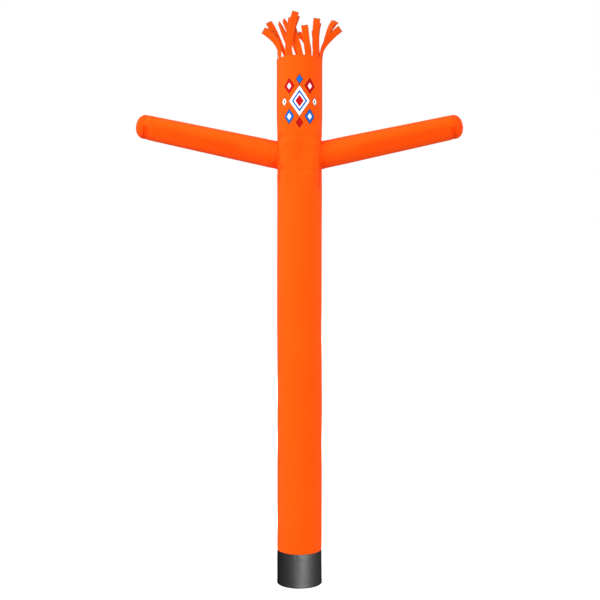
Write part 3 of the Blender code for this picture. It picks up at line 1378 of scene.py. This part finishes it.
@dataclass
class Arm:
    """A tapered arm tube and the domed cap that closes it."""

    label: str
    shape: ArmShape
    columns: int = 100
    creased_length: float = 0.15
    creased_rows: int = 42
    row_gap: float = 0.014
    middle_step: float = 0.022
    cap_rows: int = 26
    # The cap's rows crowd toward its seam, and the last stays just short of its tip.
    cap_crowding: float = 1.25
    cap_tip: float = 0.997
    # Painted shade over the whole cap, deeper in a narrow line at its seam.
    cap_shade: float = 0.55
    cap_seam_shade: float = 0.3
    cap_seam_reach: float = 0.003
    dome_share: float = 0.6

    def around(self, azimuths: Sequence[float]) -> list[float]:
        """Cloth coordinates round the arm."""
        return [a * self.shape.root_radius for a in (*azimuths, math.pi)]

    def distances(self) -> list[float]:
        """Places along the arm, close together at the creased root.

        Returns:
            Distances from the root seam, in order.
        """
        start = self.creased_length
        rest = seam_steps(start, self.shape.length, self.middle_step)
        return steps(0.0, start, self.creased_rows) + [d for d in rest if d > start + self.row_gap]

    def build(self, material: bpy.types.Material) -> list[bpy.types.Object]:
        """Make the arm's tube and cap."""
        return [self.build_tube(material), self.build_cap(material)]

    def build_tube(self, material: bpy.types.Material) -> bpy.types.Object:
        """The arm's tube, open at its root and its tip.

        Args:
            material: the cloth's material.

        Returns:
            The finished piece.
        """
        azimuths = turns(self.columns, (), self.shape.root_radius)
        distances = self.distances()
        outer = rings_from([self.shape.wall_line(a, distances) for a in azimuths])
        inner = rings_from([self.shape.wall_line(a, distances, CLOTH) for a in azimuths])[::-1]
        painted_shades = [[self.shape.painted_shade_at(d, a) for a in azimuths] for d in distances]
        made = ClothMesh()
        along = distances + distances[::-1]
        made.add_rings(outer + inner, self.around(azimuths), along, True, shade=painted_shades + painted_shades[::-1])
        piece = made.build(f"arm_cloth_{self.label}")
        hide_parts(*(f"arm_{self.label}_{part}" for part in CAD_ARM_PARTS))
        return hand_over(piece, material)

    def build_cap(self, material: bpy.types.Material) -> bpy.types.Object:
        """The cap's dome, gathered into the arm's seam.

        Args:
            material: the cloth's material.

        Returns:
            The finished piece.
        """
        azimuths = turns(self.columns, (), self.shape.root_radius)
        shares = [(i / self.cap_rows) ** self.cap_crowding for i in range(self.cap_rows)]
        angles = [0.5 * math.pi * share for share in (*shares, self.cap_tip)]
        outer = [[self.shape.cap_point(t, a) for a in azimuths] for t in angles]
        inner = [[self.shape.cap_point(t, a, CLOTH) for a in azimuths] for t in reversed(angles)]
        along = [t * self.shape.seam_radius for t in angles]
        # Painted shade over the whole cap, deeper at its seam.
        deep = [self.cap_shade + self.cap_seam_shade * bump(d, self.cap_seam_reach) for d in along]
        painted_shades = [[depth] * len(azimuths) for depth in deep]
        rows = along[::-1] + along
        made = ClothMesh()
        made.add_rings(inner + outer, self.around(azimuths), rows, False, shade=painted_shades[::-1] + painted_shades)
        piece = made.build(f"arm_end_{self.label}")
        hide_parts(f"arm_cap_{self.label}")
        return hand_over(piece, material)


@dataclass(frozen=True)
class Streamer:
    """A strip on the head's top edge, as in the solids, and how its two plies part.

    azimuth and facing are where its flat side faces at the root and at the cut end;
    part is how far the second ply swings across there, and short is what it lacks.
    Its shade field paints shade over the whole strip, set strip by strip, and
    open is how far its plies stand off each other at the cut end.
    """

    azimuth: float
    root_width: float
    middle: tuple[float, float, float]
    tip: tuple[float, float, float]
    facing: float
    part: float = 0.006
    short: float = 0.02
    painted_strip_shade: float = 0.15
    open: float = 0.020


@dataclass
class Hair:
    """The two-ply streamers and the hemmed band that holds their roots."""

    shape: TubeShape
    width: float = 0.070
    flare: float = 0.8
    # Each ply's thickness, and the air between the two where they lie together.
    ply: float = 0.0010
    ply_gap: float = 0.0006
    across: int = 8
    rows: int = 44
    parting: float = 0.45
    band_bottom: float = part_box("hair")[0][2]
    band_height: float = 0.0117
    sewn_depth: float = 0.004
    band_rise: float = 0.0009
    band_columns: int = 144
    # How far a strip bows across, sways and frills, and how far the second ply turns.
    cup: float = 0.0045
    sway: float = 0.0030
    frill: float = 0.0016
    ply_turn: float = 0.10
    # How dark the heat-cut edges are, and how the tone fades inward.
    edge_burn: float = 0.9
    burn_fade: float = 0.3
    burn_reach: float = 0.016
    burn_ease: float = 0.009
    # The flat sheet that the strips are cut from, and the share of it that they use.
    flat_length: float = 0.6
    flat_use: float = 0.9
    streamers: tuple[Streamer, ...] = (
        Streamer(-61, 0.060, (-0.232, -0.150, 5.475), (-0.365, -0.170, 5.596), -25),
        Streamer(-33, 0.048, (-0.112, -0.185, 5.515), (-0.077, -0.190, 5.719), -15, painted_strip_shade=0.45),
        Streamer(-22, 0.036, (-0.089, -0.240, 5.529), (-0.038, -0.250, 5.759), 0, 0.020, 0.028, 0.50),
        Streamer(3, 0.054, (-0.027, -0.218, 5.466), (-0.092, -0.220, 5.641), -30, painted_strip_shade=0.35),
        Streamer(22, 0.065, (0.071, -0.225, 5.473), (0.049, -0.235, 5.629), 5),
        Streamer(44, 0.065, (0.160, -0.185, 5.515), (0.175, -0.200, 5.707), 5, 0.016, 0.04, 0.30),
        Streamer(69, 0.060, (0.263, -0.095, 5.481), (0.414, -0.115, 5.631), 30),
        Streamer(95, 0.060, (0.271, 0.050, 5.570), (0.380, 0.070, 5.763), 145),
        Streamer(118, 0.060, (0.180, 0.140, 5.612), (0.197, 0.160, 5.778), 170),
        Streamer(139, 0.060, (0.168, 0.175, 5.550), (0.172, 0.195, 5.710), 160),
        Streamer(157, 0.060, (0.080, 0.225, 5.576), (-0.018, 0.225, 5.673), 185, painted_strip_shade=0.0),
        Streamer(172, 0.050, (-0.072, 0.195, 5.615), (-0.166, 0.160, 5.815), 108, painted_strip_shade=0.0, open=0.005),
        Streamer(192, 0.026, (-0.130, 0.235, 5.600), (-0.217, 0.215, 5.805), 98, painted_strip_shade=0.0, open=0.005),
        Streamer(205, 0.034, (-0.216, 0.155, 5.585), (-0.324, 0.140, 5.775), 200),
        Streamer(243, 0.060, (-0.222, 0.085, 5.530), (-0.285, 0.060, 5.660), 240),
        Streamer(268, 0.060, (-0.228, 0.000, 5.480), (-0.270, -0.030, 5.600), 290),
    )

    def root(self, streamer: Streamer) -> Vector:
        """Where a streamer's middle leaves the band.

        Args:
            streamer: the strip.

        Returns:
            The place.
        """
        turn = math.radians(streamer.azimuth)
        height = self.band_bottom + self.band_height - self.sewn_depth
        return on_tube(turn, self.shape.head_radius - CLOTH, height)

    def length(self, streamer: Streamer) -> float:
        """A streamer's length, through its middle."""
        middle, tip = Vector(streamer.middle), Vector(streamer.tip)
        return (middle - self.root(streamer)).length + (tip - middle).length

    def section(self, streamer: Streamer, t: float, second: bool) -> Ring:
        """A ring round one ply at a share of its length.

        Args:
            streamer: the strip.
            t: the share, 0 at the root and 1 at the cut end.
            second: whether it is the ply behind.

        Returns:
            Points along the outer face and back along the inner one.
        """
        root, middle, tip = self.root(streamer), Vector(streamer.middle), Vector(streamer.tip)
        handle = 2.0 * middle - 0.5 * (root + tip)
        if second:
            t *= 1.0 - streamer.short / self.length(streamer)
        centre = (1 - t) ** 2 * root + 2 * t * (1 - t) * handle + t * t * tip
        along = ((1 - t) * (handle - root) + t * (tip - handle)).normalized()
        turn = math.radians(blend(streamer.azimuth, streamer.facing, t))
        out = Vector((math.sin(turn), -math.cos(turn), 0.0))
        across = along.cross(out).normalized()
        out = across.cross(along).normalized()
        seed = streamer.azimuth * 0.37
        sway = self.sway * grain(seed, t * 3.0, 1.0) * ease(t * 3.0)
        if second:
            apart = ease((t - self.parting) / (1.0 - self.parting))
            sway -= self.ply_gap + self.ply + streamer.open * apart
            centre = centre + across * (streamer.part * apart)
            across = (across + along * (self.ply_turn * apart)).normalized()
        width = blend(streamer.root_width, self.width, ease(t / self.flare))
        front, back = [], []
        for i in range(self.across + 1):
            side = i / self.across - 0.5
            fullness = ease(t * 4.0) * (0.6 + 0.4 * math.sin(seed + 4.0 * t))
            cup = self.cup * (1.0 - 4.0 * side * side) * fullness
            frill = self.frill * grain(seed, side * 3.0, t * 9.0) * ease(t * 5.0)
            spot = centre + across * (side * width) + out * (sway + cup + frill)
            front.append(spot + out * (0.5 * self.ply))
            back.append(spot - out * (0.5 * self.ply))
        return front + back[::-1]

    def build(self, material: bpy.types.Material) -> list[bpy.types.Object]:
        """Make the streamers and their band.

        Args:
            material: the cloth's material.

        Returns:
            The streamers, and the band.
        """
        made = ClothMesh()
        lengthwise = steps(0.0, 1.0, self.rows)
        strip = [i / self.across * self.width for i in range(self.across + 1)]
        around = strip + strip[::-1] + [0.0]
        inward = [min(i, self.across - i) for i in range(self.across + 1)]
        long_edges = [self.edge_burn * self.burn_fade**column for column in inward]
        for streamer in self.streamers:
            length = self.length(streamer)
            ends = [ease(((t - 1.0) * length + self.burn_reach) / self.burn_ease) for t in lengthwise]
            cut = [[max(end, edge) for edge in long_edges + long_edges] for end in ends]
            along = [t * length for t in lengthwise]
            for second in (False, True):
                rings = [self.section(streamer, t, second) for t in lengthwise]
                # Each strip is darkened all over with its own painted shade.
                painted_strip_shades = [[streamer.painted_strip_shade] * len(ring) for ring in rings]
                made.add_rings(rings, around, along, False, cut_edge=cut, shade=painted_strip_shades)
        streamers = made.build("streamers", sharp_degrees=40.0)
        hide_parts("hair")
        return [hand_over(streamers, material), self.build_band(material)]

    def build_band(self, material: bpy.types.Material) -> bpy.types.Object:
        """The folded hem on the head's top edge.

        Args:
            material: the cloth's material.

        Returns:
            The finished piece.
        """
        bottom, top = self.band_bottom, self.band_bottom + self.band_height
        azimuths = turns(self.band_columns, (), self.shape.head_radius)
        rise = self.band_rise
        levels = ((0.0, bottom), (rise, bottom + 0.002), (rise, top - 0.0012), (0.0, top))
        outer = [[self.rim_point(a, z, out) for a in azimuths] for out, z in levels]
        inner = [[self.rim_point(a, z, -CLOTH) for a in azimuths] for _, z in reversed(levels)]
        around = [a * self.shape.head_radius for a in (*azimuths, math.pi)]
        heights = [z for _, z in levels]
        made = ClothMesh()
        made.add_rings(outer + inner, around, heights + heights[::-1], True)
        piece = made.build("head_hem")
        return hand_over(piece, material)

    def rim_point(self, azimuth: float, height: float, rise: float) -> Vector:
        """A point on the hem, which follows the head's own top edge."""
        radius = self.shape.main_form(azimuth, height) + self.shape.crease(azimuth, height) + rise
        return on_tube(azimuth, radius, height)


# Stitching


@dataclass
class Stitching:
    """Rows of separate stitches that lie on the seams."""

    name: str
    slot: Slot
    pitch: float = 0.0052
    length: float = 0.0036
    half_width: float = 0.0006
    height: float = 0.0006
    sink: float = 0.0003
    made: ClothMesh = field(default_factory=ClothMesh)

    def stitch(self, middle: Vector, ahead: Vector, out: Vector) -> None:
        """Add one stitch: a short three-sided bar with pointed ends.

        Args:
            middle: the stitch's middle.
            ahead: the way it is sewn.
            out: the way off the cloth.
        """
        side = ahead.cross(out).normalized() * self.half_width
        crown = out * self.height
        sunk = out * -self.sink
        rings = []
        for share, size in ((-0.5, 0.25), (-0.3, 1.0), (0.3, 1.0), (0.5, 0.25)):
            spot = middle + ahead * (share * self.length) + sunk
            rings.append([spot - side * size, spot + side * size, spot + crown * size])
        self.made.add_rings(rings, [0.0, 0.001, 0.002, 0.003], [0.0, 0.001, 0.003, 0.004], False)

    def row(self, points: Sequence[Vector], outward: Callable[[Vector], Vector]) -> None:
        """Sew from point to point.

        Args:
            points: the needle's holes along the seam.
            outward: the direction off the cloth at a place.
        """
        for start, end in zip(points, points[1:]):
            middle = 0.5 * (start + end)
            ahead = (end - start).normalized()
            out = outward(middle)
            self.stitch(middle, ahead, (out - ahead * out.dot(ahead)).normalized())

    def holes(self, length: float) -> list[float]:
        """The needle's holes on a row, as shares of its length."""
        return steps(0.0, 1.0, round(length / self.pitch))

    def build(self, material: bpy.types.Material) -> bpy.types.Object:
        """Make the rows into one piece."""
        piece = self.made.build(self.name)
        return hand_over(piece, material)

    def around_tube(self, shape: TubeShape, height: float) -> None:
        """A level row round the upright tube."""
        holes = self.holes(2.0 * math.pi * shape.radius)
        self.row([shape.at(blend(-math.pi, math.pi, share), height) for share in holes], from_axis)

    def down_back(self, shape: TubeShape, bottom: float, top: float, across: float) -> None:
        """An upright row beside the back seam.

        Args:
            shape: the tube.
            bottom: the row's lower end.
            top: its upper end.
            across: how far beside the seam it runs.
        """
        azimuth = math.pi - across / shape.radius
        holes = self.holes(top - bottom)
        self.row([shape.at(azimuth, blend(bottom, top, share)) for share in holes], from_axis)

    def around_arm(self, arm: ArmShape, distance: float) -> None:
        """A row round an arm, level with its root or its tip.

        Args:
            arm: the arm.
            distance: the row's distance from the root seam.
        """
        holes = self.holes(2.0 * math.pi * arm.main_form(distance))
        points = [arm.wall_line(blend(-math.pi, math.pi, share), [distance])[0] for share in holes]
        self.row(points, arm.off_axis)


def sew_orange(tube: TubeShape, arms: Sequence[ArmShape], material: bpy.types.Material) -> bpy.types.Object:
    """Sew the orange panels and the arms together.

    Args:
        tube: the upright tube.
        arms: both arms.
        material: the thread.

    Returns:
        The piece that holds all the stitches.
    """
    hem_rows, arm_rows, back_rows = (0.003, 0.009), (0.003, 0.008), (-0.0035, 0.0035)
    top_row, back_ends = 0.013, 0.02
    seams = Stitching("orange_stitching", Slot.ORANGE)
    for edge in tube.seams():
        for offset in hem_rows:
            seams.around_tube(tube, edge + offset)
    seams.around_tube(tube, tube.head_top - top_row)
    for across in back_rows:
        seams.down_back(tube, tube.cuff_top + back_ends, tube.head_top - back_ends, across)
    for arm in arms:
        for distance in (*arm_rows, *(arm.length - row for row in reversed(arm_rows))):
            seams.around_arm(arm, distance)
    return seams.build(material)


def sew_cuff(tube: TubeShape, material: bpy.types.Material) -> bpy.types.Object:
    """Sew the cuff's two hems.

    Args:
        tube: the upright tube.
        material: the thread.

    Returns:
        The piece that holds all the stitches.
    """
    foot_rows, top_row = (0.005, 0.021), 0.006
    cuff = Stitching("cuff_stitching", Slot.BLACK)
    for height in (*foot_rows, tube.cuff_top - top_row):
        cuff.around_tube(tube, height)
    return cuff.build(material)


# Studio


WARM = (1.0, 0.45, 0.08)  # as the cloth throws its own colour back and forth


class LightUse(Enum):
    """What a light does: shape the form, make the sheen, or both."""

    FORM = (True, False)
    SHEEN = (False, True)
    BOTH = (True, True)


@dataclass(frozen=True)
class SoftBox:
    """An area light aimed at a place."""

    name: str
    place: tuple[float, float, float]
    target: tuple[float, float, float]
    size: tuple[float, float]
    power: float
    use: LightUse = LightUse.FORM
    colour: tuple[float, float, float] = (1.0, 1.0, 1.0)

    def build(self, receivers: Sequence[bpy.types.Object] = ()) -> bpy.types.Object:
        """Make the light.

        Args:
            receivers: the only pieces that it lights, or none for every piece.

        Returns:
            The light's object.
        """
        data = bpy.data.lights.new(self.name, "AREA")
        data.color = self.colour
        data.shape = "RECTANGLE"
        data.size, data.size_y = self.size
        data.energy = self.power
        lamp = bpy.data.objects.new(self.name, data)
        bpy.context.collection.objects.link(lamp)
        lamp.location = self.place
        aim = Vector(self.target) - Vector(self.place)
        lamp.rotation_euler = aim.to_track_quat("-Z", "Y").to_euler()
        lamp.visible_diffuse, lamp.visible_glossy = self.use.value
        if receivers:
            lit = bpy.data.collections.new(f"lit by {self.name}")
            for piece in receivers:
                lit.objects.link(piece)
            lamp.light_linking.receiver_collection = lit
        return lamp


@dataclass(frozen=True)
class Studio:
    """A pale floor, an even white surround, soft lights and the camera."""

    camera_place: tuple[float, float, float] = (0.005, -9.0, 2.885)
    lens: float = 52.7
    sensor: float = 36.0
    floor_radius: float = 60.0
    floor_sides: int = 64
    floor_drop: float = 0.0005
    surround: float = 1.20
    floor_glow: float = 0.75
    floor_bounce: float = 0.50
    lights: tuple[SoftBox, ...] = (
        SoftBox("left softbox", (-7.0, -4.2, 7.0), (0.0, 0.0, 2.8), (5.0, 5.0), 580.0),
        SoftBox("right softbox", (6.5, -5.0, 4.5), (0.0, 0.0, 2.6), (4.0, 5.0), 150.0),
        SoftBox("back softbox", (0.0, 7.0, 7.0), (0.0, 0.0, 2.6), (6.0, 5.0), 70.0),
    )
    tube_sheen: SoftBox = SoftBox(
        "tube sheen", (-6.5, -2.6, 2.9), (0.0, 0.0, 2.9), (0.8, 7.0), 1200.0, LightUse.SHEEN, WARM
    )
    arm_sheen: SoftBox = SoftBox(
        "arm sheen", (0.0, -4.4, 8.6), (0.0, 0.0, 4.5), (7.0, 0.8), 1300.0, LightUse.SHEEN, WARM
    )
    cuff_strip: SoftBox = SoftBox(
        "cuff strip", (1.10, -3.85, 0.35), (0.0, 0.0, 0.17), (0.25, 0.8), 265.0, LightUse.BOTH
    )

    def build(self) -> None:
        """Make the camera, the floor, the surround and the main lights."""
        self.build_camera()
        self.build_floor()
        self.build_surround()
        for light in self.lights:
            light.build()

    def build_camera(self) -> None:
        """A level camera in front of the figure."""
        data = bpy.data.cameras.new("camera")
        data.lens, data.sensor_width = self.lens, self.sensor
        camera = bpy.data.objects.new("camera", data)
        bpy.context.collection.objects.link(camera)
        camera.location = self.camera_place
        camera.rotation_euler = (math.radians(90.0), 0.0, 0.0)
        bpy.context.scene.camera = camera
        bpy.context.scene.view_settings.view_transform = "Standard"

    def build_floor(self) -> None:
        """A pale round floor just under the foot."""
        corners = [2.0 * math.pi * i / self.floor_sides for i in range(self.floor_sides)]
        rim = [
            (self.floor_radius * math.cos(a), self.floor_radius * math.sin(a), -self.floor_drop)
            for a in corners
        ]
        mesh = bpy.data.meshes.new("floor")
        mesh.from_pydata(rim, [], [list(range(self.floor_sides))])
        floor = bpy.data.objects.new("floor", mesh)
        bpy.context.collection.objects.link(floor)
        material = bpy.data.materials.new("pale floor")
        material.use_nodes = True
        graph = Graph(material.node_tree)
        shader = material.node_tree.nodes["Principled BSDF"]
        path = graph.add("ShaderNodeLightPath")
        matt = (self.floor_bounce,) * 3 + (1.0,)
        dark = (0.0, 0.0, 0.0, 1.0)
        graph.feed(shader.inputs["Base Color"], graph.mix(path.outputs["Is Glossy Ray"], matt, dark))
        shader.inputs["Roughness"].default_value = 0.9
        shader.inputs["Specular IOR Level"].default_value = 0.0
        shader.inputs["Emission Color"].default_value = (1.0, 1.0, 1.0, 1.0)
        glow = graph.math("MULTIPLY", path.outputs["Is Camera Ray"], self.floor_glow)
        graph.feed(shader.inputs["Emission Strength"], glow)
        mesh.materials.append(material)

    def build_surround(self) -> None:
        """A white surround that lights the cloth more than it shows, and isn't mirrored in it."""
        world = bpy.data.worlds.new("surround")
        world.use_nodes = True
        bpy.context.scene.world = world
        graph = Graph(world.node_tree)
        light = world.node_tree.nodes["Background"]
        light.inputs["Color"].default_value = (1.0, 1.0, 1.0, 1.0)
        path = graph.add("ShaderNodeLightPath")
        seen = graph.math("MULTIPLY_ADD", path.outputs["Is Camera Ray"], 1.0 - self.surround, self.surround)
        graph.feed(light.inputs["Strength"], seen)
        world.cycles_visibility.glossy = False


def main() -> None:
    """Build the studio and every piece, in order."""
    logging.basicConfig(level=logging.INFO, format="%(message)s")
    studio = Studio()
    studio.build()
    finishes = Finishes.build()
    tube = TubeShape()
    arms = tuple(ArmShape(side) for side in (-1, 1))

    cuff_panel = TubePanel("cuff_cloth", "base_cuff", tube, Slot.BLACK, cloth=CUFF_CLOTH)
    cuff_cloth = cuff_panel.build(finishes.cuff)
    lower = TubePanel("lower_tube_cloth", "lower_tube", tube, Slot.ORANGE)
    chest = ChestPanel("chest_cloth", "chest_panel", tube, Slot.ORANGE, middle_step=0.012, arms=arms)
    head = TubePanel("head_cloth", "head_tube", tube, Slot.ORANGE, middle_step=0.02)
    tube_cloth = [panel.build(finishes.orange) for panel in (lower, chest)]
    tube_cloth.append(head.build(finishes.head))
    tube_cloth += Hair(tube).build(finishes.orange)
    arm_cloth = []
    for label, arm in zip(("left", "right"), arms):
        arm_cloth += Arm(label, arm).build(finishes.orange)
    studio.tube_sheen.build(tube_cloth)
    studio.arm_sheen.build(arm_cloth)

    sew_orange(tube, arms, finishes.orange_thread)
    studio.cuff_strip.build((cuff_cloth, sew_cuff(tube, finishes.black_thread)))


if __name__ == "__main__":
    main()
